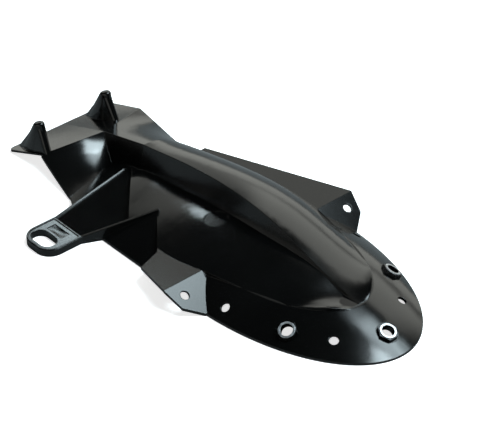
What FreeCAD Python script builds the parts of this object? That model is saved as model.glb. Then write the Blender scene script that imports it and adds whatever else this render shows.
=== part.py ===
import FreeCAD, Part
import Sketcher
import math
import os

from FreeCAD import Placement, Rotation, Vector

doc = FreeCAD.newDocument("mud_plate")
sheet = doc.addObject("Spreadsheet::Sheet", "Sizes")

# Driving sizes in millimetres. X runs along the plate towards the tongue tip, Y across it with the arm on the
# minus side, Z up from the table it lies on.
SIZES = {
    "wall": 2.0,
    "depth": 12,
    "spill": 9,
    # tongue, a cap of an ellipsoid with a flat top that carries the dome
    "tongue_x": 30,
    "rim_long": 129.6,
    "rim_wide": 69.2,
    "rim_top": 1.7,
    "ledge": 16.5,
    "cap_crown": 27.6,
    "cap_deep": 100,
    # flanks falling to the rear, wing tabs falling to the front
    "fold_x": 21,
    "fold_z": 16.4,
    "tab_foot_x": 44.3,
    "tab_foot_z": 2.1,
    "tab_half": 85.7,
    "flank_rear_x": -103,
    "flank_rear_half": 57,
    "flank_rear_z": 2.9,
    # shelf
    "shelf_back_x": -199,
    "shelf_back_near": 51,
    "shelf_back_far": 44.5,
    "shelf_back_z": 1.8,
    "shelf_corner": 4,
    "shelf_front_x": -164.2,
    "shelf_front_half": 46.3,
    "shelf_front_z": 12.3,
    "apex_x": -149.3,
    "apex_z": 19.6,
    # step between the two halves of the dome
    "step_draft": 0.25,
    # ramp and strip on the arm side, at the middle and at the outer end
    "valley_in_x": -136.5,
    "valley_out_x": -117,
    "valley_z": 2.2,
    "strip_in_x": -115.5,
    "strip_out_x": -107,
    "strip_in_z": 9.6,
    "strip_out_z": 6.1,
    "strip_out_y": -64,
    "ramp_out_x": -119,
    "ramp_out_y": -55.5,
    # arm
    "arm_rear_x": -104.4,
    "arm_front_x": -73,
    "arm_root_y": -80.5,
    "arm_height": 5.5,
    "arm_end_y": -111,
    "arm_corner": 12,
    "rib": 2.2,
    "dish_long": 16,
    "dish_wide": 7,
    "dish_floor": 3.4,
    "slot_x": -89.5,
    "slot_y": -101,
    "slot_long": 22,
    "slot_wide": 13,
    "web_top_x": -49.8,
    "web_top_y": -32.6,
    "web_top_z": 17.4,
    "notch_y": -68,
    "notch_in_x": -18.8,
    "notch_in_y": -58.4,
    "notch_out_x": -11.9,
    "notch_out_y": -79,
    # pegs on the shelf, which fill its depth at the near peg but for a clearance at each end
    "peg_near_y": -39.3,
    "peg_far_y": 21.9,
    "peg_clear": 1.2,
    "peg_wide": 12.8,
    "peg_fore": 0.17,
    "peg_height": 25,
    "peg_tip": 7.6,
    "peg_round": 2,
    # holes and inserts: along the tongue as a share of its length, in from its rim as a length
    "plain_hole": 6.5,
    "wing_x": 29.2,
    "wing_y": 74.4,
    "hole_a_along": 0.1775,
    "hole_a_in": 7.9,
    "hole_b_along": 0.741,
    "hole_b_in": 15.3,
    "insert_along": 0.535,
    "insert_in": 11.1,
    "insert_tip_in": 16.4,
    "insert_flats": 12.5,
    "insert_bore": 8.6,
    "insert_proud": 2.4,
    "insert_ring": 0.6,
    "insert_shank": 10.6,
    "insert_seat": 0.3,
    "insert_below": 0.5,
    # round mark on the near half
    "mark_y": -14,
    "mark_across": 17,
    "mark_depth": 0.6,
    # dome stations: place, rise of the ridge and of the near crown above the foot, half width of the foot
    "place_a": -103, "rise_a": 28.3, "crown_a": 9.1, "foot_a": 43.6,
    "place_b": -72, "rise_b": 30, "crown_b": 11.4, "foot_b": 49,
    "place_c": -40, "rise_c": 30.65, "crown_c": 12.15, "foot_c": 53.5,
    "place_d": -9, "rise_d": 28.7, "crown_d": 11.7, "foot_d": 56,
    "place_e": 22, "rise_e": 23.1, "crown_e": 9.1, "foot_e": 52.5,
    "place_f": 54, "rise_f": 16, "crown_f": 8.9, "foot_f": 45.5,
    "place_g": 86, "rise_g": 6.5, "crown_g": 5, "foot_g": 36,
    "place_h": 117, "rise_h": 0.3, "crown_h": 0.25, "foot_h": 8,
}

for row, (name, value) in enumerate(SIZES.items(), start=1):
    sheet.set("A%d" % row, name)
    sheet.set("B%d" % row, str(value))
    sheet.setAlias("B%d" % row, name)
doc.recompute()


def val(text):
    """Number that an expression over the sheet gives."""
    return float(sheet.evalExpression(text))


def size(name):
    return val("Sizes." + name)


def bind(obj, **texts):
    for name, text in texts.items():
        obj.setExpression(name.replace("__", "."), text)
    return obj


def outline(name, points, arc=None):
    """Closed sketch through points given as expression pairs; arc is the index of an edge bent about the
    upright line through its first point."""
    sketch = doc.addObject("Sketcher::SketchObject", name)
    spots = [Vector(val(u), val(v), 0) for u, v in points]
    count = len(spots)
    for k in range(count):
        start, end = spots[k], spots[(k + 1) % count]
        if k == arc:
            radius = ((end.x - start.x) ** 2 + (end.y - start.y) ** 2) / (2 * (start.y - end.y))
            circle = Part.Circle(start - Vector(0, radius, 0), Vector(0, 0, 1), radius)
            ends = sorted((circle.parameter(start), circle.parameter(end)))
            sketch.addGeometry(Part.ArcOfCircle(circle, *ends), False)
        else:
            sketch.addGeometry(Part.LineSegment(start, end), False)
    flipped = arc is not None and spots[arc].x < spots[(arc + 1) % count].x

    def corner(k, first):
        if k == arc and flipped:
            first = not first
        return (k, 1 if first else 2)

    for k in range(count):
        sketch.addConstraint(
            Sketcher.Constraint("Coincident", *corner(k, False), *corner((k + 1) % count, True)))
        for kind, text in zip(("DistanceX", "DistanceY"), points[k]):
            index = sketch.addConstraint(Sketcher.Constraint(kind, -1, 1, *corner(k, True), val(text)))
            sketch.setExpression("Constraints[%d]" % index, text)
    if arc is not None:
        index = sketch.addConstraint(Sketcher.Constraint("DistanceX", -1, 1, arc, 3, spots[arc].x))
        sketch.setExpression("Constraints[%d]" % index, points[arc][0])
    return sketch


ACROSS = Rotation(Vector(1, 1, 1), 120)
ALONG = Rotation(Vector(1, 0, 0), 90)


def station(name, points, at, arc=None, turn=0):
    """Upright section across the plate: sketch X is Y, sketch Y is Z."""
    sketch = outline(name, points, arc)
    sketch.Placement = Placement(Vector(0, 0, 0), Rotation(Vector(0, 0, 1), turn).multiply(ACROSS))
    return bind(sketch, Placement__Base__x=at)


def side(name, points, at):
    """Upright section along the plate: sketch X is X, sketch Y is Z."""
    sketch = outline(name, points)
    sketch.Placement = Placement(Vector(0, 0, 0), ALONG)
    return bind(sketch, Placement__Base__y=at)


def loft(name, sections, ruled):
    solid = doc.addObject("Part::Loft", name)
    solid.Sections = sections
    solid.Solid = True
    solid.Ruled = ruled
    return solid


def prism(name, base, direction, length):
    solid = doc.addObject("Part::Extrusion", name)
    solid.Base = base
    solid.DirMode = "Custom"
    solid.Dir = direction
    solid.Solid = True
    return bind(solid, LengthFwd=length)


def join(name, shapes):
    """Shapes fused one after the other."""
    solid = shapes[0]
    for number, shape in enumerate(shapes[1:], start=1):
        both = doc.addObject("Part::Fuse", "%s_%d" % (name, number))
        both.Base = solid
        both.Tool = shape
        solid = both
    return solid


def meet(name, shapes):
    solid = doc.addObject("Part::MultiCommon", name)
    solid.Shapes = shapes
    return solid


def take(name, base, tool):
    solid = doc.addObject("Part::Cut", name)
    solid.Base = base
    solid.Tool = tool
    return solid


def block(name, x, y, z, long, wide, high):
    box = doc.addObject("Part::Box", name)
    return bind(box, Placement__Base__x=x, Placement__Base__y=y, Placement__Base__z=z,
                Length=long, Width=wide, Height=high)


def rounded(name, solid, pick, radius):
    """Fillet on the edges of a solid whose middle point and direction pick accepts."""
    doc.recompute()
    edges = []
    for index, edge in enumerate(solid.Shape.Edges, start=1):
        ends = [vertex.Point for vertex in edge.Vertexes]
        if pick(edge.BoundBox.Center, ends[-1] - ends[0]):
            edges.append((index, radius, radius))
    fillet = doc.addObject("Part::Fillet", name)
    fillet.Base = solid
    fillet.Edges = edges
    return fillet


def is_upright(run):
    return abs(run.z) > 0.5 and run.x ** 2 + run.y ** 2 < 1e-6


def is_back_corner(mid, run):
    return is_upright(run) and mid.x < size("shelf_back_x") + 1 and abs(mid.y) > size("shelf_back_far") / 2


CAP_SHARE = "sqrt(1 - ((Sizes.cap_deep - Sizes.cap_crown + Sizes.rim_top) / Sizes.cap_deep) ^ 2)"
FLOOR = "-Sizes.depth"
FLANK_SLOPE = "((Sizes.fold_z - Sizes.flank_rear_z) / (Sizes.fold_x - Sizes.flank_rear_x))"
TAB_SLOPE = "((Sizes.fold_z - Sizes.tab_foot_z) / (Sizes.tab_foot_x - Sizes.fold_x))"
TURN = math.degrees(math.atan2(size("apex_x") - size("shelf_front_x"), size("shelf_front_half")))
FRONT_SPAN = "sqrt((Sizes.apex_x - Sizes.shelf_front_x) ^ 2 + Sizes.shelf_front_half ^ 2)"
PLATE_EDGE = (
    ("Sizes.tab_foot_x", "Sizes.rim_wide"),
    ("Sizes.fold_x + 14", "Sizes.tab_half - 4"),
    ("Sizes.fold_x", "Sizes.tab_half"),
    ("Sizes.flank_rear_x", "Sizes.flank_rear_half"),
)


def flank_z(at):
    return "(Sizes.fold_z + %s * (%s - Sizes.fold_x))" % (FLANK_SLOPE, at)


def foot_z(letter):
    at = "Sizes.place_" + letter
    return "Sizes.ledge" if size("place_" + letter) > size("fold_x") - 2 else flank_z(at)


def notch(name, grow):
    """Plan of the recess on the arm side that takes the trough and the sloping notch in front of it. The
    grown plan leaves a wall round the recess, except past the notch floor, where the flank ends in a plain edge."""
    g = " * " + grow
    run = "(Sizes.notch_out_x - Sizes.notch_in_x) / (Sizes.notch_out_y - Sizes.notch_in_y)"
    mouth_x = "Sizes.notch_in_x + (Sizes.notch_y - Sizes.notch_in_y) * " + run
    past = ["2.5 * Sizes.notch_out_%s - 1.5 * Sizes.notch_in_%s" % (word, word) for word in "xy"]
    points = [
        ("Sizes.strip_in_x + 3 + 0.5" + g, "-4 + 1.2" + g),
        ("Sizes.web_top_x - 10.5 + 0.4" + g, "Sizes.web_top_y - 17.5 + 1" + g),
        ("Sizes.web_top_x + 0.2" + g, "Sizes.web_top_y + 1.2" + g),
        ("Sizes.notch_in_x + 1.3" + g, "Sizes.notch_in_y + 0.3" + g),
    ]
    if grow == "0":
        points.append(past)
    else:
        points.append((mouth_x + " + 1.15" + g, "Sizes.notch_y"))
        points.append((mouth_x + " - 0.5", "Sizes.notch_y"))
        points.append((past[0] + " - 0.5", past[1]))
    points.append(("Sizes.strip_out_x - 33", past[1]))
    points.append(("Sizes.strip_in_x - 3", "-4 + 1.2" + g))
    return outline(name, points)


def form(tag, inset, spill):
    """The plate as a solid, drawn in by inset all over and run on by spill at its free edges."""
    def step_y(ridge, low):
        return "-Sizes.step_draft * (%s - (%s)) + 1.03 * %s" % (ridge, low, inset)

    ball = doc.addObject("Part::Ellipsoid", "ball_" + tag)
    bind(ball, Radius1="Sizes.cap_deep - " + inset,
         Radius2="Sizes.rim_long / %s - %s" % (CAP_SHARE, inset),
         Radius3="Sizes.rim_wide / %s - %s" % (CAP_SHARE, inset),
         Placement__Base__x="Sizes.tongue_x",
         Placement__Base__z="Sizes.cap_crown - Sizes.cap_deep")
    ball.Angle1 = -90
    ball.Angle2 = 90
    ball.Angle3 = 360
    top = block("tongue_box_" + tag, "Sizes.fold_x", "-Sizes.rim_wide * 1.6", FLOOR, "Sizes.rim_long * 1.5",
                "Sizes.rim_wide * 3.2", "Sizes.ledge - %s + Sizes.depth" % inset)
    limits = [ball, top]
    if spill == "0":
        ring = doc.addObject("Part::Ellipse", "rim_" + tag)
        bind(ring, MajorRadius="Sizes.rim_long", MinorRadius="Sizes.rim_wide",
             Placement__Base__x="Sizes.tongue_x", Placement__Base__z=FLOOR)
        limits.append(prism("rim_prism_" + tag, ring, Vector(0, 0, 1), "Sizes.depth + Sizes.ledge + 5"))
    cap = meet("cap_" + tag, limits)

    base = side("flank_line_" + tag, (
        ("Sizes.flank_rear_x - " + spill, FLOOR),
        ("Sizes.flank_rear_x - " + spill,
         "%s - 1.01 * %s" % (flank_z("Sizes.flank_rear_x - " + spill), inset)),
        ("Sizes.fold_x - 0.23 * " + inset, "Sizes.fold_z - 1.03 * " + inset),
        ("Sizes.tab_foot_x + " + spill,
         "Sizes.fold_z - %s * (Sizes.tab_foot_x + %s - Sizes.fold_x) - 1.17 * %s"
         % (TAB_SLOPE, spill, inset)),
        ("Sizes.tab_foot_x + " + spill, FLOOR),
    ), "Sizes.tab_half + 15")
    base = prism("flank_run_" + tag, base, Vector(0, -1, 0), "2 * Sizes.tab_half + 30")
    if spill == "0":
        edge = list(PLATE_EDGE)
        edge += [(x, "-(%s)" % y) for x, y in reversed(PLATE_EDGE)]
        plan = outline("flank_plan_" + tag, edge)
        bind(plan, Placement__Base__z=FLOOR)
        base = meet("flank_" + tag, [base, prism("flank_prism_" + tag, plan, Vector(0, 0, 1),
                                                 "Sizes.depth + Sizes.ledge + 5")])

    letters = "abcdefgh"
    far, near = [], []
    for letter in letters:
        at = "Sizes.place_" + letter
        if letter == letters[-1]:
            at += " - " + inset
        ridge = "(%s + Sizes.rise_%s)" % (foot_z(letter), letter)
        crown = "(%s + Sizes.crown_%s)" % (foot_z(letter), letter)
        foot, low = "Sizes.foot_%s - 0.4 * %s" % (letter, inset), "%s - %s" % (foot_z(letter), inset)
        far.append(station("far_%s_%s" % (letter, tag), (
            ("0.78 * " + inset, "%s - %s" % (ridge, inset)),
            (foot, low),
            (foot, FLOOR),
            (step_y(ridge, FLOOR), FLOOR),
        ), at, arc=0))
        near.append(station("near_%s_%s" % (letter, tag), (
            ("0", "%s - %s" % (crown, inset)),
            ("-(%s)" % foot, low),
            ("-(%s)" % foot, FLOOR),
            ("0", FLOOR),
        ), at, arc=0))
    tail = station("near_tail_" + tag, (
        ("0", "Sizes.strip_in_z - %s" % inset),
        ("-Sizes.foot_a", "Sizes.wall - %s" % inset),
        ("-Sizes.foot_a", FLOOR),
        ("0", FLOOR),
    ), "Sizes.strip_in_x - 3", arc=0)
    near_tail = loft("near_tail_loft_" + tag, [tail, near[0]], True)
    far_dome = loft("far_dome_" + tag, far, False)
    near_dome = loft("near_dome_" + tag, near, False)

    front = {}
    for sign, word in ((1, "far"), (-1, "near")):
        span = "%d * (%s + %s)" % (sign, FRONT_SPAN, spill)
        low = "Sizes.shelf_front_z - 1.06 * " + inset
        front[word] = station("front_%s_%s" % (word, tag), (
            ("0", "Sizes.apex_z - 1.06 * " + inset), (span, low), (span, FLOOR), ("0", FLOOR),
        ), "Sizes.apex_x", turn=sign * TURN)
    shelves = []
    for sign, word in ((1, "far"), (-1, "near")):
        half = "%d * (Sizes.shelf_back_%s + %s)" % (sign, word, spill)
        high = "Sizes.shelf_back_z - 1.06 * %s - 0.33 * %s" % (inset, spill)
        back = station("back_%s_%s" % (word, tag), (
            ("0", high), (half, high), (half, FLOOR), ("0", FLOOR),
        ), "Sizes.shelf_back_x - " + spill)
        shelf = loft("shelf_%s_%s" % (word, tag), [back, front[word]], True)
        if spill == "0":
            shelf = rounded("shelf_round_" + word, shelf, is_back_corner, size("shelf_corner"))
        shelves.append(shelf)

    span = FRONT_SPAN + " - " + inset
    root = station("panel_front_" + tag, (
        ("0.78 * " + inset, "Sizes.apex_z - 1.06 * " + inset),
        (span, "Sizes.shelf_front_z - 1.06 * " + inset),
        (span, FLOOR),
        (step_y("Sizes.apex_z", FLOOR), FLOOR),
    ), "Sizes.apex_x", turn=TURN)
    panel = loft("panel_" + tag, [root, far[0]], True)

    lines = []
    for word, y in (("in", "4"), ("out", "Sizes.strip_out_y")):
        share = "(-(%s) / Sizes.shelf_front_half)" % y
        out = "((%s) / Sizes.strip_out_y)" % y
        top_x = "Sizes.apex_x + %s * (Sizes.shelf_front_x - Sizes.apex_x)" % share
        top_z = "Sizes.apex_z + %s * (Sizes.shelf_front_z - Sizes.apex_z)" % share
        low_x = "Sizes.valley_in_x + %s * (Sizes.valley_out_x - Sizes.valley_in_x)" % out
        end_x = "Sizes.strip_in_x + %s * (Sizes.strip_out_x - Sizes.strip_in_x)" % out
        end_z = "Sizes.strip_in_z + %s * (Sizes.strip_out_z - Sizes.strip_in_z)" % out
        lines.append(side("ramp_%s_%s" % (word, tag), (
            ("%s - 0.35 * %s" % (top_x, inset), "%s - 1.15 * %s" % (top_z, inset)),
            ("%s - 0.45 * %s" % (low_x, inset), "Sizes.valley_z - 1.1 * " + inset),
            (end_x, "%s - 1.05 * %s" % (end_z, inset)),
            (end_x, FLOOR),
            ("%s - 0.35 * %s" % (top_x, inset), FLOOR),
        ), y))
    ramp = loft("ramp_" + tag, lines, True)
    if spill == "0":
        plan = outline("ramp_plan_" + tag, (
            ("Sizes.shelf_front_x - 11", "10"), ("Sizes.strip_out_x + 12", "10"),
            ("Sizes.strip_out_x + 12", "Sizes.strip_out_y - 2"),
            ("Sizes.strip_out_x", "Sizes.strip_out_y + 1.5"), ("Sizes.ramp_out_x", "Sizes.ramp_out_y"),
            ("Sizes.shelf_front_x", "-Sizes.shelf_front_half"),
            ("Sizes.shelf_front_x - 11", "2.7 - Sizes.shelf_front_half"),
        ))
        bind(plan, Placement__Base__z=FLOOR)
        ramp = meet("ramp_cut_" + tag, [ramp, prism("ramp_prism_" + tag, plan, Vector(0, 0, 1),
                                                    "Sizes.depth + Sizes.apex_z + 5")])

    plan = notch("notch_" + tag, inset)
    bind(plan, Placement__Base__z=FLOOR + " - 1")
    gap = prism("notch_prism_" + tag, plan, Vector(0, 0, 1), "Sizes.depth + 40")
    side_body = take("side_body_" + tag, join("side_join_" + tag, [base, near_dome, near_tail]), gap)
    return join("form_" + tag, [cap, side_body, far_dome, panel, ramp] + shelves)


outer = form("outer", "0", "0")
inner = form("inner", "Sizes.wall", "Sizes.spill")
shell = take("shell", outer, inner)
above = block("above_table", "Sizes.shelf_back_x - 50", "-200", "0", "500", "400", "100")
body = meet("table_cut", [shell, above])


def spot(x, y, z):
    return Vector(val(x), val(y), val(z))


def panel_of(name, corners, direction, length):
    """Flat plate given by its corners and run along a direction."""
    edge = doc.addObject("Part::Polygon", name + "_edge")
    edge.Nodes = corners
    edge.Close = True
    return prism(name, edge, direction, length)


# Arm: rear wall, front web, sloping trough floor, sloping notch in front of the web.
arm_rear = spot("Sizes.arm_rear_x", "Sizes.arm_root_y", "Sizes.arm_height")
arm_front = spot("Sizes.arm_front_x", "Sizes.arm_root_y", "Sizes.arm_height")
strip_in = spot("Sizes.strip_in_x", "-4.5", "Sizes.strip_in_z")
web_top = spot("Sizes.web_top_x", "Sizes.web_top_y", "Sizes.web_top_z")


def dropped(point, z=0):
    return Vector(point.x, point.y, z)


def upright(name, start, end, inside):
    """Upright wall below the line from start to just past end, its thickness on the side of inside."""
    end = end + (end - start).normalize() * size("rib")
    run = dropped(end) - dropped(start)
    across = Vector(-run.y, run.x, 0).normalize()
    if across.dot(dropped(inside) - dropped(start)) < 0:
        across = across.negative()
    return panel_of(name, [start, end, dropped(end), dropped(start)], across, "Sizes.rib")


web_end = web_top + (web_top - arm_front).normalize() * 2
rear_wall = upright("arm_rear_wall", strip_in, arm_rear, web_top)
front_web = upright("arm_front_web", web_end, arm_front, strip_in)
low = spot("Sizes.arm_front_x", "Sizes.arm_root_y", "Sizes.wall")
high = arm_rear - Vector(0, 0, 0.4)
inner_end = strip_in + Vector(2.5, 0, -0.4)
normal = (high - low).cross(inner_end - low)


def on_floor(x, y):
    return Vector(x, y, low.z - (normal.x * (x - low.x) + normal.y * (y - low.y)) / normal.z)


trough = panel_of("arm_trough", [
    on_floor(low.x, low.y - 1), on_floor(high.x, high.y - 1), on_floor(strip_in.x + 0.5, strip_in.y),
    on_floor(inner_end.x + 3, inner_end.y), on_floor(web_top.x - 8, web_top.y - 16),
], Vector(0, 0, -1), "Sizes.wall")
notch_y = size("notch_y")
share = (notch_y - web_top.y) / (arm_front.y - web_top.y)
corner_x = web_top.x + share * (arm_front.x - web_top.x)
mouth_share = (notch_y - size("notch_in_y")) / (size("notch_out_y") - size("notch_in_y"))
mouth_x = size("notch_in_x") + mouth_share * (size("notch_out_x") - size("notch_in_x"))
notch_rise = (web_top.z - 0.4 - size("wall")) / (web_top.y - notch_y)


def on_notch(x, y):
    return Vector(x, y, size("wall") + notch_rise * (y - notch_y))


notch_floor = panel_of("arm_notch_floor", [
    on_notch(web_top.x + 1, web_top.y + 1), on_notch(size("notch_in_x") + 1.3, size("notch_in_y") + 0.4),
    on_notch(mouth_x + 1.1, notch_y), on_notch(corner_x - 1, notch_y),
], Vector(0, 0, -1), "Sizes.wall")


# Eye at the end of the arm: a pad with two round corners, a slot and a shallow dish beside it.
eye_box = block("eye_box", "Sizes.arm_rear_x", "Sizes.arm_end_y", "0", "Sizes.arm_front_x - Sizes.arm_rear_x",
                "Sizes.arm_root_y - Sizes.arm_end_y", "Sizes.arm_height")
eye_limit = size("arm_end_y") + size("arm_corner")
eye_pad = rounded("eye_pad", eye_box, lambda mid, run: is_upright(run) and mid.y < eye_limit, size("arm_corner"))
eye_dish = block("eye_dish", "Sizes.slot_x - Sizes.dish_long / 2",
                 "Sizes.slot_y + Sizes.slot_wide / 2 + Sizes.rib", "Sizes.dish_floor",
                 "Sizes.dish_long", "Sizes.dish_wide", "Sizes.arm_height")
slot_parts = [block("slot_middle", "Sizes.slot_x - (Sizes.slot_long - Sizes.slot_wide) / 2",
                    "Sizes.slot_y - Sizes.slot_wide / 2", "-5", "Sizes.slot_long - Sizes.slot_wide",
                    "Sizes.slot_wide", "20")]
for sign, word in ((-1, "rear"), (1, "front")):
    end = doc.addObject("Part::Cylinder", "slot_" + word)
    bind(end, Radius="Sizes.slot_wide / 2", Height="20", Placement__Base__z="-5",
         Placement__Base__x="Sizes.slot_x + %d * (Sizes.slot_long - Sizes.slot_wide) / 2" % sign,
         Placement__Base__y="Sizes.slot_y")
    slot_parts.append(end)
slot = join("slot", slot_parts)
eye_end = take("eye_end", take("eye_dished", eye_pad, eye_dish), slot)

# Pegs: fins from a long oval on the shelf to a round tip, hollow from below.
lean = math.atan2(size("apex_z") - size("shelf_back_z"), size("apex_x") - size("shelf_back_x"))
PEG_DEPTH = ("(Sizes.apex_x - Sizes.peg_near_y / Sizes.shelf_front_half"
             " * (Sizes.shelf_front_x - Sizes.apex_x) - Sizes.shelf_back_x)")
SHELF_TILT = Rotation(Vector(0, 1, 0), -math.degrees(lean))


def shelf_point(x, y):
    """Point of the shelf top: straight lines run from the back edge to the front edge."""
    share_y = abs(y) / size("shelf_front_half")
    front_x = size("apex_x") + share_y * (size("shelf_front_x") - size("apex_x"))
    front_z = size("apex_z") + share_y * (size("shelf_front_z") - size("apex_z"))
    run = (x - size("shelf_back_x")) / (front_x - size("shelf_back_x"))
    return Vector(x, y, size("shelf_back_z") + run * (front_z - size("shelf_back_z")))


def peg_tip(y):
    depth = val(PEG_DEPTH)
    foot = shelf_point(size("shelf_back_x") + depth / 2, y)
    return foot + Vector(size("peg_fore") * depth, 0, size("peg_height"))


def peg(name, y, inset, below):
    """Both ovals lie parallel to the shelf."""
    foot = shelf_point(size("shelf_back_x") + val(PEG_DEPTH) / 2, y)
    rings = []
    for word, point, down, long, wide in (
            ("foot", foot, below, PEG_DEPTH + " / 2 - Sizes.peg_clear", "Sizes.peg_wide / 2"),
            ("tip", peg_tip(y), inset, "Sizes.peg_tip / 2 + 0.2", "Sizes.peg_tip / 2")):
        ring = doc.addObject("Part::Ellipse", "%s_%s" % (name, word))
        ring.Placement = Placement(point - SHELF_TILT.multVec(Vector(0, 0, val(down))), SHELF_TILT)
        bind(ring, MajorRadius="%s - %s" % (long, inset), MinorRadius="%s - %s" % (wide, inset))
        rings.append(ring)
    return loft(name, rings, True)


pegs, hollows = [], []
for word in ("near", "far"):
    y = size("peg_%s_y" % word)
    top = peg_tip(y)
    pegs.append(rounded("peg_round_" + word, peg("peg_" + word, y, "0", "1"),
                        lambda mid, run: (mid - top).Length < 1 and run.Length < 1, size("peg_round")))
    hollows.append(peg("peg_hollow_" + word, y, "Sizes.wall", "Sizes.wall + 2"))


# Places on the tongue and on the tabs, with the surface direction there.
def on_tongue(along, inside, sign):
    """Place on the tongue by its share of the length and its distance in from the rim."""
    x = size("tongue_x") + along * size("rim_long")
    y = sign * (size("rim_wide") * math.sqrt(1 - along ** 2) - inside)
    factor = val(CAP_SHARE)
    long, wide, deep = size("rim_long") / factor, size("rim_wide") / factor, size("cap_deep")
    u, v = (x - size("tongue_x")) / long, y / wide
    w = math.sqrt(1 - u * u - v * v)
    point = Vector(x, y, size("cap_crown") - deep + deep * w)
    return point, Rotation(Vector(0, 0, 1), Vector(u / long, v / wide, w / deep))


def on_tab(x, y):
    point = Vector(x, y, size("fold_z") - val(TAB_SLOPE) * (x - size("fold_x")))
    return point, Rotation(Vector(0, 0, 1), Vector(val(TAB_SLOPE), 0, 1))


def on_near_crown(y):
    """Place on the low half of the dome at its fourth station."""
    bend = (size("foot_d") ** 2 + size("crown_d") ** 2) / (2 * size("crown_d"))
    top = val(foot_z("d")) + size("crown_d")
    point = Vector(size("place_d"), y, top - bend + math.sqrt(bend ** 2 - y ** 2))
    return point, Rotation(Vector(0, 0, 1), Vector(-0.06, y / bend, 1))


def bore(name, place, radius, low, high):
    """Round cutter along the surface direction, from low to high above the surface."""
    point, turn = place
    tool = doc.addObject("Part::Cylinder", name)
    tool.Placement = Placement(point + turn.multVec(Vector(0, 0, val(low))), turn)
    return bind(tool, Radius=radius, Height="%s - (%s)" % (high, low))


cutters = list(hollows)
for sign, word in ((-1, "near"), (1, "far")):
    for name, place in (
            ("wing_hole", on_tab(size("wing_x"), sign * size("wing_y"))),
            ("side_hole", on_tongue(size("hole_a_along"), size("hole_a_in"), sign)),
            ("tip_hole", on_tongue(size("hole_b_along"), size("hole_b_in"), sign))):
        cutters.append(bore("%s_%s" % (name, word), place, "Sizes.plain_hole / 2", "-10", "10"))

tip_along = 1 - size("insert_tip_in") / size("rim_long")
INSERTS = {
    "near": on_tongue(size("insert_along"), size("insert_in"), -1),
    "tip": on_tongue(tip_along, 0, 0),
    "far": on_tongue(size("insert_along"), size("insert_in"), 1),
}
for word, place in INSERTS.items():
    cutters.append(bore("insert_hole_" + word, place, "Sizes.insert_shank / 2", "-10", "10"))
    cutters.append(bore("insert_face_" + word, place, "Sizes.insert_flats * 0.62", "-Sizes.insert_seat", "10"))
cutters.append(bore("round_mark", on_near_crown(size("mark_y")), "Sizes.mark_across / 2", "-Sizes.mark_depth", "10"))

solid = join("moulding", [body, rear_wall, front_web, trough, notch_floor, eye_end] + pegs)
plate = take("plate", solid, join("cutters", cutters))
plate.Label = "mud_plate"
HOME_X = "-(Sizes.shelf_back_x + Sizes.tongue_x + Sizes.rim_long) / 2"
HOME_Y = "-(Sizes.arm_end_y + Sizes.tab_half) / 2"
bind(plate, Placement__Base__x=HOME_X, Placement__Base__y=HOME_Y)
home = Vector(val(HOME_X), val(HOME_Y), 0)


def hexagon(sketch, across):
    """Regular hexagon by its width over flats, one flat square to the sketch X axis."""
    reach = val(across) / math.sqrt(3)
    spots = [Vector(reach * math.cos(math.radians(60 * k + 30)), reach * math.sin(math.radians(60 * k + 30)), 0)
             for k in range(6)]
    for k in range(6):
        sketch.addGeometry(Part.LineSegment(spots[k], spots[(k + 1) % 6]), False)
    sketch.addGeometry(Part.Circle(Vector(0, 0, 0), Vector(0, 0, 1), reach), True)
    for k in range(6):
        sketch.addConstraint(Sketcher.Constraint("Coincident", k, 2, (k + 1) % 6, 1))
        sketch.addConstraint(Sketcher.Constraint("PointOnObject", k, 1, 6))
    for k in range(1, 6):
        sketch.addConstraint(Sketcher.Constraint("Equal", 0, k))
    sketch.addConstraint(Sketcher.Constraint("Coincident", 6, 3, -1, 1))
    sketch.addConstraint(Sketcher.Constraint("Vertical", 5))
    index = sketch.addConstraint(Sketcher.Constraint("Radius", 6, reach))
    sketch.setExpression("Constraints[%d]" % index, across + " / sqrt(3)")


def circle(sketch, radius):
    sketch.addGeometry(Part.Circle(Vector(0, 0, 0), Vector(0, 0, 1), val(radius)), False)
    sketch.addConstraint(Sketcher.Constraint("Coincident", 0, 3, -1, 1))
    index = sketch.addConstraint(Sketcher.Constraint("Radius", 0, val(radius)))
    sketch.setExpression("Constraints[%d]" % index, radius)


def feature(body, kind, name, draw, dimension, raised="0", **flags):
    plane = next(f for f in body.Origin.OriginFeatures if f.Role == "XY_Plane")
    sketch = body.newObject("Sketcher::SketchObject", name + "_sketch")
    sketch.AttachmentSupport = [(plane, "")]
    sketch.MapMode = "FlatFace"
    bind(sketch, AttachmentOffset__Base__z=raised)
    draw(sketch, dimension)
    item = body.newObject(kind, name)
    item.Profile = sketch
    for key, value in flags.items():
        if key == "long":
            bind(item, Length=value)
        else:
            setattr(item, key, value)
    return item


inserts = []
for word, (point, turn) in INSERTS.items():
    insert = doc.addObject("PartDesign::Body", "insert_" + word)
    insert.Label = "insert_" + word
    feature(insert, "PartDesign::Pad", "hex_" + word, hexagon, "Sizes.insert_flats", long="Sizes.insert_proud")
    feature(insert, "PartDesign::Pad", "ring_" + word, circle, "Sizes.insert_flats * 0.46",
            long="Sizes.insert_proud + Sizes.insert_ring")
    feature(insert, "PartDesign::Pad", "shank_" + word, circle, "Sizes.insert_shank / 2", Reversed=True,
            long="Sizes.wall + Sizes.insert_below")
    doc.recompute()
    thread = feature(insert, "PartDesign::Pocket", "thread_" + word, circle, "Sizes.insert_bore / 2",
                     raised="Sizes.insert_proud + Sizes.insert_ring + 1", long="30")
    insert.Placement = Placement(home + point + turn.multVec(Vector(0, 0, -size("insert_seat"))), turn)
    inserts.append(insert)

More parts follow.
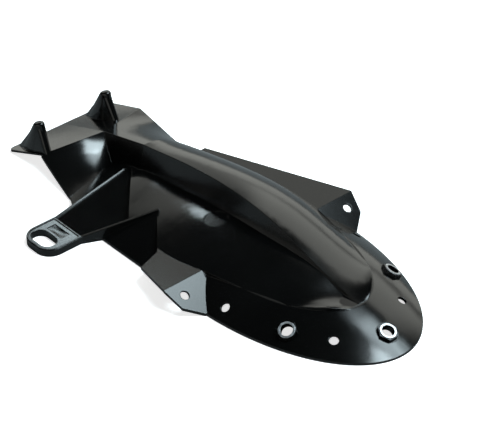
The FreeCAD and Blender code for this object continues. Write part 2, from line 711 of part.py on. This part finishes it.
doc.recompute()
for obj in doc.Objects:
    if "Invalid" in obj.State or "Error" in obj.State:
        raise RuntimeError("%s did not compute" % obj.Name)
os.makedirs("parts", exist_ok=True)
for obj in [plate] + inserts:
    shape = obj.Shape
    if shape.isNull() or not shape.isValid() or len(shape.Solids) != 1:
        raise RuntimeError("%s is not one valid solid" % obj.Label)
    shape.exportStep("parts/%s.step" % obj.Label)
    print(obj.Label, round(shape.Volume / 1000, 2), len(shape.Faces))
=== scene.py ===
"""Looks of the motorcycle shock mud plate: satin black moulding, zinc-plated inserts with painted shade on
their hexagons and a painted highlight on their rings, plain studio.
"""

import math

import bmesh
import bpy
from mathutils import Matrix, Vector


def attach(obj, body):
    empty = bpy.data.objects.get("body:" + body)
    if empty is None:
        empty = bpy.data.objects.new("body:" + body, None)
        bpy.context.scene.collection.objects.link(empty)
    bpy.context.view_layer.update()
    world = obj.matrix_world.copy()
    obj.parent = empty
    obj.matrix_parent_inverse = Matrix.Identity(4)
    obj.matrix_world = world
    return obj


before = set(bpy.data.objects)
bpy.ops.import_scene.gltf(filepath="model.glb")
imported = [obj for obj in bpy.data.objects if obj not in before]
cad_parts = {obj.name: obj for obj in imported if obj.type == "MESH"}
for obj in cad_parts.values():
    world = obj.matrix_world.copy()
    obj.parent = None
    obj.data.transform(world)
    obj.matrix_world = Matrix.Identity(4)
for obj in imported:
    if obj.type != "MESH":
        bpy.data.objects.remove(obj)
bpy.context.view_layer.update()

# The photograph's view: where the camera looks, from which direction, how far and how long the lens is.
IMAGE_WIDTH = 480
FOCAL_PIXELS = 2080
SENSOR = 36.0
TARGET = Vector((0.0197, 0.01265, 0.0209))
AZIMUTH = math.radians(48.4)
ELEVATION = math.radians(36.0)
DISTANCE = 1.4227
FAR_CLIP = 20

# The inserts: faces whose normal rises more than LOOKS_UP give the axis, and what lies within RING_HEIGHT of
# the top is the ring, brightened with a painted highlight.
LOOKS_UP = 0.7
RING_HEIGHT = 0.00055

# The eye's pad and dish in the solids, and what is added: a lip along the pad's edge and a sagging floor.
PAD_LOW = Vector((-0.0847, -0.09835))
PAD_HIGH = Vector((-0.0533, -0.06785))
PAD_CORNER = 0.012
PAD_TOP = 0.0055
CORNER_STEPS = 12
LIP_INSET = 0.0003
LIP_WIDTH = 0.0013
LIP_HEIGHT = 0.0006
LIP_ROUNDING = 0.0002
DISH_MIDDLE = Vector((-0.0698, -0.07615))
DISH_SIZE = Vector((0.016, 0.007))
DISH_BOTTOM = 0.0034
DISH_FLOOR_TOP = 0.0051
DISH_FLOOR_SAG = 0.00018
DISH_CELLS_ALONG = 16
DISH_CELLS_ACROSS = 8

# The shelf's plane, and the pegs' wider feet: circles (x, y, radius, depth below the plane) and the middle of
# the ring below the tip. The shelf bends down a little at the toes. A foot's caps are the faces that look
# down or straight up: how much of the shelf's normal is in theirs is below CAP_LOW or above CAP_HIGH.
SHELF_POINT = Vector((-0.16125, 0.00871, 0.00813))
SHELF_NORMAL = Vector((-0.3313, -0.0095, 0.9435)).normalized()
TIP_RADIUS = 0.0037
FOOT_WALL = 0.0008
FOOT_STEPS = 32
FOOT_SHARP = math.radians(40)
CAP_LOW = -0.5
CAP_HIGH = 0.95
PEG_FEET = {
    "near": (((-0.1766, -0.0286, 0.002, 0.0006), (-0.168, -0.02665, 0.0048, 0.0006),
              (-0.1596, -0.02665, 0.0064, 0.0009), (-0.16, -0.03, 0.003, 0.0009),
              (-0.151, -0.02665, 0.0048, 0.0015), (-0.1448, -0.0288, 0.003, 0.0022)),
             Vector((-0.1544, -0.02675, 0.03024))),
    "far": (((-0.1754, 0.0326, 0.002, 0.0008), (-0.168, 0.0345, 0.0048, 0.0008),
             (-0.1596, 0.0345, 0.0064, 0.0012), (-0.151, 0.0345, 0.0048, 0.0012),
             (-0.1435, 0.0336, 0.003, 0.0013)),
            Vector((-0.1544, 0.03445, 0.03067))),
}

# Colours, and the part of a noise's range that is put to use.
BLACK = (0.001, 0.0011, 0.0011, 1)
FLOW_BLACK = (0.0022, 0.0023, 0.0023, 1)
SHADED_STEEL = (0.05, 0.05, 0.052, 1)
SHADED_STEEL_DULL = (0.03, 0.03, 0.031, 1)
LIT_ZINC = (0.62, 0.63, 0.65, 1)
LIT_ZINC_DULL = (0.36, 0.36, 0.37, 1)
FLOOR = (0.86, 0.86, 0.86, 1)
FLOOR_IN_GLOSS = (0.22, 0.22, 0.22, 1)
FLOOR_GLOW = (0.75, 0.75, 0.75, 1)
ROOM = (0.02, 0.02, 0.02, 1)
WHITE = (1, 1, 1, 1)
WALL_LIGHT = (1.0, 1.02, 0.95)
BOX_LIGHT = (0.78, 0.94, 1.0)
NOISE_LOW = 0.3
NOISE_HIGH = 0.7

# The studio's floor: its width, its roughness and how far it lies below the frame's zero height.
FLOOR_WIDTH = 8
FLOOR_ROUGHNESS = 0.9
FLOOR_GAP = 0.0003


def toward(azimuth, elevation):
    """Unit vector from the object to a place, azimuth 0 on the minus Y side and 90 on the plus X side."""
    flat = math.cos(elevation)
    return Vector((math.sin(azimuth) * flat, -math.cos(azimuth) * flat, math.sin(elevation)))


def aim(obj, place, target):
    """Puts obj at place with its minus Z axis towards target."""
    obj.location = place
    obj.rotation_euler = (place - target).to_track_quat("Z", "Y").to_euler()


def new_material(name):
    """New material with its nodes, links and main shader."""
    material = bpy.data.materials.new(name)
    material.use_nodes = True
    nodes = material.node_tree.nodes
    return material, nodes, material.node_tree.links, nodes["Principled BSDF"]


def noise(nodes, links, scale, detail, roughness):
    """Noise in the frame's own metres, so that it stays put on the part."""
    place = nodes.new("ShaderNodeTexCoord")
    pattern = nodes.new("ShaderNodeTexNoise")
    pattern.inputs["Scale"].default_value = scale
    pattern.inputs["Detail"].default_value = detail
    pattern.inputs["Roughness"].default_value = roughness
    links.new(place.outputs["Object"], pattern.inputs["Vector"])
    return pattern


def ramp(nodes, links, source, stops):
    """Colour ramp over a noise: stops are (place, colour)."""
    node = nodes.new("ShaderNodeValToRGB")
    for element, (at, colour) in zip(node.color_ramp.elements, stops):
        element.position = at
        element.color = colour
    links.new(source.outputs["Fac"], node.inputs["Fac"])
    return node


def spread(nodes, links, source, low, high):
    """Noise spread over the values from low to high."""
    node = nodes.new("ShaderNodeMapRange")
    node.inputs["From Min"].default_value = NOISE_LOW
    node.inputs["From Max"].default_value = NOISE_HIGH
    node.inputs["To Min"].default_value = low
    node.inputs["To Max"].default_value = high
    links.new(source.outputs["Fac"], node.inputs["Value"])
    return node


def bump(nodes, links, source, strength, distance, below):
    """Bumps from a noise on top of the normal of the node below."""
    node = nodes.new("ShaderNodeBump")
    node.inputs["Strength"].default_value = strength
    node.inputs["Distance"].default_value = distance
    links.new(source.outputs["Fac"], node.inputs["Height"])
    links.new(below.outputs["Normal"], node.inputs["Normal"])
    return node


def soft_edges(nodes, radius):
    """Normal that runs round the edges, as on a moulding with small radii."""
    node = nodes.new("ShaderNodeBevel")
    node.samples = 6
    node.inputs["Radius"].default_value = radius
    return node


def plastic():
    """Satin black moulding: faint flow clouds in colour and gloss, slow waves and a fine moulded grain."""
    material, nodes, links, shader = new_material("satin_black_plastic")
    clouds = noise(nodes, links, scale=18, detail=4, roughness=0.55)
    grain = noise(nodes, links, scale=2600, detail=2, roughness=0.5)
    waves = noise(nodes, links, scale=45, detail=2, roughness=0.4)
    colour = ramp(nodes, links, clouds, ((0.35, BLACK), (0.75, FLOW_BLACK)))
    gloss = spread(nodes, links, clouds, low=0.115, high=0.16)
    edges = soft_edges(nodes, radius=0.0007)
    slow = bump(nodes, links, waves, strength=0.02, distance=0.002, below=edges)
    fine = bump(nodes, links, grain, strength=0.06, distance=0.0002, below=slow)
    links.new(colour.outputs["Color"], shader.inputs["Base Color"])
    links.new(gloss.outputs["Result"], shader.inputs["Roughness"])
    links.new(fine.outputs["Normal"], shader.inputs["Normal"])
    shader.inputs["IOR"].default_value = 1.5
    return material


def steel(name, bright, dull, smooth, rough):
    """Plated steel with duller patches."""
    material, nodes, links, shader = new_material(name)
    patches = noise(nodes, links, scale=420, detail=5, roughness=0.6)
    colour = ramp(nodes, links, patches, ((0.35, dull), (0.65, bright)))
    gloss = spread(nodes, links, patches, smooth, rough)
    edges = soft_edges(nodes, radius=0.0003)
    dents = bump(nodes, links, patches, strength=0.1, distance=0.0002, below=edges)
    links.new(colour.outputs["Color"], shader.inputs["Base Color"])
    links.new(gloss.outputs["Result"], shader.inputs["Roughness"])
    links.new(dents.outputs["Normal"], shader.inputs["Normal"])
    shader.inputs["Metallic"].default_value = 1.0
    return material


def dress(name, *materials):
    """Gives a CAD node its materials and returns its mesh."""
    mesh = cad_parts[name].data
    mesh.materials.clear()
    for material in materials:
        mesh.materials.append(material)
    return mesh


def dress_insert(name, body, rim):
    """Hexagon darkened with painted shade, and a raised ring round the bore brightened with a painted
    highlight.
    """
    mesh = dress(name, body, rim)
    upper = [face.normal * face.area for face in mesh.polygons if face.normal.z > LOOKS_UP]
    axis = sum(upper, Vector()).normalized()
    heights = [axis.dot(face.center) for face in mesh.polygons]
    for face, height in zip(mesh.polygons, heights):
        face.material_index = int(height > max(heights) - RING_HEIGHT)


def new_piece(name, shape, material):
    """Piece of the root body from a bmesh."""
    bmesh.ops.recalc_face_normals(shape, faces=shape.faces)
    mesh = bpy.data.meshes.new(name)
    shape.to_mesh(mesh)
    shape.free()
    mesh.materials.append(material)
    piece = bpy.data.objects.new(name, mesh)
    bpy.context.collection.objects.link(piece)
    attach(piece, "root")
    return piece


def pad_outline(inset):
    """The pad's outline drawn in: two round corners at the arm's end, square ones at its root."""
    radius = PAD_CORNER - inset
    points = [Vector((PAD_LOW.x + inset, PAD_HIGH.y - inset))]
    for x, start in ((PAD_LOW.x + PAD_CORNER, 180), (PAD_HIGH.x - PAD_CORNER, 270)):
        middle = Vector((x, PAD_LOW.y + PAD_CORNER))
        for step in range(CORNER_STEPS + 1):
            angle = math.radians(start + 90 * step / CORNER_STEPS)
            points.append(middle + radius * Vector((math.cos(angle), math.sin(angle))))
    points.append(Vector((PAD_HIGH.x - inset, PAD_HIGH.y - inset)))
    return points


def eye_lip(material):
    """Low lip along the edge of the eye's pad."""
    shape = bmesh.new()
    outer = pad_outline(LIP_INSET)
    inner = pad_outline(LIP_INSET + LIP_WIDTH)
    crest = PAD_TOP + LIP_HEIGHT
    loops = [[shape.verts.new((point.x, point.y, height)) for point in outline]
             for outline, height in ((outer, PAD_TOP), (outer, crest), (inner, crest), (inner, PAD_TOP))]
    for first, second in zip(loops, loops[1:] + loops[:1]):
        for k in range(len(first)):
            shape.faces.new((first[k], first[k - 1], second[k - 1], second[k]))
    rounding = new_piece("eye_lip", shape, material).modifiers.new("rounding", "BEVEL")
    rounding.width = LIP_ROUNDING
    rounding.segments = 2


def eye_floor(material):
    """Sagging floor in the eye's dish: a grid of size 1, shaped and then drawn down to the dish's bottom."""
    shape = bmesh.new()
    bmesh.ops.create_grid(shape, x_segments=DISH_CELLS_ALONG, y_segments=DISH_CELLS_ACROSS, size=0.5)
    for vert in shape.verts:
        along, across = vert.co.xy
        sag = DISH_FLOOR_SAG * (1 - 4 * along ** 2) * (1 - 4 * across ** 2)
        vert.co.x = DISH_MIDDLE.x + along * DISH_SIZE.x
        vert.co.y = DISH_MIDDLE.y + across * DISH_SIZE.y
        vert.co.z = DISH_FLOOR_TOP - sag
    below = bmesh.ops.extrude_face_region(shape, geom=shape.faces[:])["geom"]
    for part in below:
        if isinstance(part, bmesh.types.BMVert):
            part.co.z = DISH_BOTTOM
    new_piece("eye_floor", shape, material)


def foot_hull(circles, tip):
    """Hull of circles on the shelf and a ring just below the peg's tip."""
    shape = bmesh.new()
    across = SHELF_NORMAL.orthogonal().normalized()
    along = SHELF_NORMAL.cross(across)
    for step in range(FOOT_STEPS):
        turn = math.tau * step / FOOT_STEPS
        shape.verts.new(tip + TIP_RADIUS * (math.cos(turn) * across + math.sin(turn) * along))
        for x, y, radius, depth in circles:
            place = Vector((x + radius * math.cos(turn), y + radius * math.sin(turn), SHELF_POINT.z))
            place.z -= SHELF_NORMAL.dot(place - SHELF_POINT) / SHELF_NORMAL.z
            shape.verts.new(place - depth * SHELF_NORMAL)
    hull = bmesh.ops.convex_hull(shape, input=shape.verts[:])
    inside = hull["geom_interior"] + hull["geom_unused"]
    spare = {part for part in inside if isinstance(part, bmesh.types.BMVert)}
    bmesh.ops.delete(shape, geom=list(spare), context="VERTS")
    return shape


def peg_foot(name, circles, tip, material):
    """Wider foot round a peg: a thin shell that leaves the hollow in the peg open below."""
    shape = foot_hull(circles, tip)
    bmesh.ops.recalc_face_normals(shape, faces=shape.faces)
    caps = [face for face in shape.faces if not CAP_LOW < face.normal.dot(SHELF_NORMAL) < CAP_HIGH]
    bmesh.ops.delete(shape, geom=caps, context="FACES")
    for face in shape.faces:
        face.smooth = True
    for edge in shape.edges:
        edge.smooth = not edge.is_boundary and edge.calc_face_angle() < FOOT_SHARP
    shell = new_piece(name, shape, material).modifiers.new("shell", "SOLIDIFY")
    shell.thickness = FOOT_WALL
    shell.offset = -1


def make_floor():
    """Pale floor with the part's shadow: the camera sees a white glow over it, so that holes read light, and
    reflections see it darker."""
    bpy.ops.mesh.primitive_plane_add(size=FLOOR_WIDTH, location=(0, 0, -FLOOR_GAP))
    floor = bpy.context.object
    floor.name = "floor"
    material, nodes, links, shader = new_material("pale_floor")
    shader.inputs["Roughness"].default_value = FLOOR_ROUGHNESS
    shader.inputs["Specular IOR Level"].default_value = 0.0
    shader.inputs["Emission Color"].default_value = FLOOR_GLOW
    path = nodes.new("ShaderNodeLightPath")
    links.new(path.outputs["Is Camera Ray"], shader.inputs["Emission Strength"])
    shade = nodes.new("ShaderNodeMix")
    shade.data_type = "RGBA"
    shade.inputs["A"].default_value = FLOOR
    shade.inputs["B"].default_value = FLOOR_IN_GLOSS
    links.new(path.outputs["Is Glossy Ray"], shade.inputs["Factor"])
    links.new(shade.outputs["Result"], shader.inputs["Base Color"])
    floor.data.materials.append(material)


def make_world():
    """White to the camera, a dim even room to everything else."""
    world = bpy.data.worlds.new("studio")
    world.use_nodes = True
    bpy.context.scene.world = world
    nodes, links = world.node_tree.nodes, world.node_tree.links
    room = nodes["Background"]
    room.inputs["Color"].default_value = ROOM
    white = nodes.new("ShaderNodeBackground")
    white.inputs["Color"].default_value = WHITE
    path = nodes.new("ShaderNodeLightPath")
    pick = nodes.new("ShaderNodeMixShader")
    links.new(path.outputs["Is Camera Ray"], pick.inputs["Fac"])
    links.new(room.outputs["Background"], pick.inputs[1])
    links.new(white.outputs["Background"], pick.inputs[2])
    links.new(pick.outputs["Shader"], nodes["World Output"].inputs["Surface"])


def fade_edges(tree, fade):
    """Dims a lamp to its edges; fade is the share of its width and height over which it does."""
    nodes, links = tree.nodes, tree.links
    surface = nodes.new("ShaderNodeNewGeometry")
    across = nodes.new("ShaderNodeSeparateXYZ")
    links.new(surface.outputs["Parametric"], across.inputs["Vector"])
    window = nodes.new("ShaderNodeMath")
    window.operation = "MULTIPLY"
    for axis, share, factor in zip("XY", fade, window.inputs):
        inward = nodes.new("ShaderNodeMath")
        inward.operation = "PINGPONG"
        inward.inputs[1].default_value = 0.5
        links.new(across.outputs[axis], inward.inputs[0])
        fall = nodes.new("ShaderNodeMapRange")
        fall.interpolation_type = "SMOOTHSTEP"
        fall.inputs["From Max"].default_value = share
        links.new(inward.outputs["Value"], fall.inputs["Value"])
        links.new(fall.outputs["Result"], factor)
    links.new(window.outputs["Value"], nodes["Emission"].inputs["Strength"])


def softbox(name, place, target, size, radiance, fade, tint=BOX_LIGHT):
    """Rectangular lamp with faded edges; radiance is what a mirror would show of its middle."""
    data = bpy.data.lights.new(name, "AREA")
    data.shape = "RECTANGLE"
    data.size, data.size_y = size
    data.color = tint
    data.energy = radiance * math.pi * size[0] * size[1]
    data.use_nodes = True
    fade_edges(data.node_tree, fade)
    lamp = bpy.data.objects.new(name, data)
    lamp.visible_camera = False
    bpy.context.collection.objects.link(lamp)
    aim(lamp, Vector(place), Vector(target))


def wall(name, azimuth, distance, height, size, radiance, fade):
    """Upright lamp that faces the part; azimuth is in degrees and height is that of its middle."""
    middle = Vector((0, 0, height))
    place = middle + distance * toward(math.radians(azimuth), 0)
    softbox(name, place, middle, size, radiance, fade, WALL_LIGHT)


def make_lamps():
    """Walls behind the part, bright low down and behind its far side and dim elsewhere, and one before it for
    the views from behind. Boxes for the near tab and the tongue, for its tip and for the ramp, and a card for
    the eye."""
    wall("low_wall", azimuth=222, distance=1.6, height=0.23,
         size=(3.2, 0.44), radiance=1.15, fade=(0.05, 0.15))
    wall("bright_wall", azimuth=198, distance=1.6, height=1.12,
         size=(1.9, 1.6), radiance=1.6, fade=(0.3, 0.2))
    wall("dim_wall", azimuth=246, distance=1.6, height=0.8,
         size=(1.7, 0.9), radiance=0.65, fade=(0.2, 0.15))
    wall("front_wall", azimuth=5, distance=2.2, height=0.8,
         size=(5.2, 1.5), radiance=0.7, fade=(0.15, 0.2))
    softbox("tab_box", place=(0.24, 0.525, 1.0), target=(0.24, 0.525, 0),
            size=(0.62, 0.53), radiance=9.5, fade=(0.35, 0.35))
    softbox("tip_box", place=(0.225, 0.235, 0.3), target=(0.17, 0.03, 0.005),
            size=(0.13, 0.11), radiance=5.0, fade=(0.35, 0.35))
    softbox("ramp_box", place=(1.38, 0.77, 2.63), target=(-0.1, -0.05, 0.03),
            size=(1.4, 2.0), radiance=18.0, fade=(0.15, 0.12))
    softbox("eye_card", place=(-0.591, 0.301, 0.478), target=(-0.066, -0.0747, 0.005),
            size=(0.09, 0.06), radiance=10.0, fade=(0.2, 0.2))


def make_camera():
    """Camera of the photograph's view."""
    data = bpy.data.cameras.new("photo_view")
    data.sensor_fit = "HORIZONTAL"
    data.sensor_width = SENSOR
    data.lens = SENSOR * FOCAL_PIXELS / IMAGE_WIDTH
    data.clip_end = FAR_CLIP
    camera = bpy.data.objects.new("photo_view", data)
    bpy.context.collection.objects.link(camera)
    aim(camera, TARGET + DISTANCE * toward(AZIMUTH, ELEVATION), TARGET)
    bpy.context.scene.camera = camera


black_plastic = plastic()
# The inserts' steel in two copies: a dark one for the hexagon, painted shade, and a bright one for the ring,
# painted highlight.
steel_painted_shade = steel("steel_with_painted_shade", SHADED_STEEL, SHADED_STEEL_DULL, smooth=0.2, rough=0.34)
zinc_painted_highlight = steel("zinc_with_painted_highlight", LIT_ZINC, LIT_ZINC_DULL, smooth=0.36, rough=0.5)
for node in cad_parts:
    if node.startswith("insert"):
        dress_insert(node, steel_painted_shade, zinc_painted_highlight)
    else:
        dress(node, black_plastic)

eye_lip(black_plastic)
eye_floor(black_plastic)
for side, (circles, tip) in PEG_FEET.items():
    peg_foot("peg_foot_" + side, circles, tip, black_plastic)

make_floor()
make_world()
make_lamps()
make_camera()
bpy.context.scene.view_settings.view_transform = "Standard"
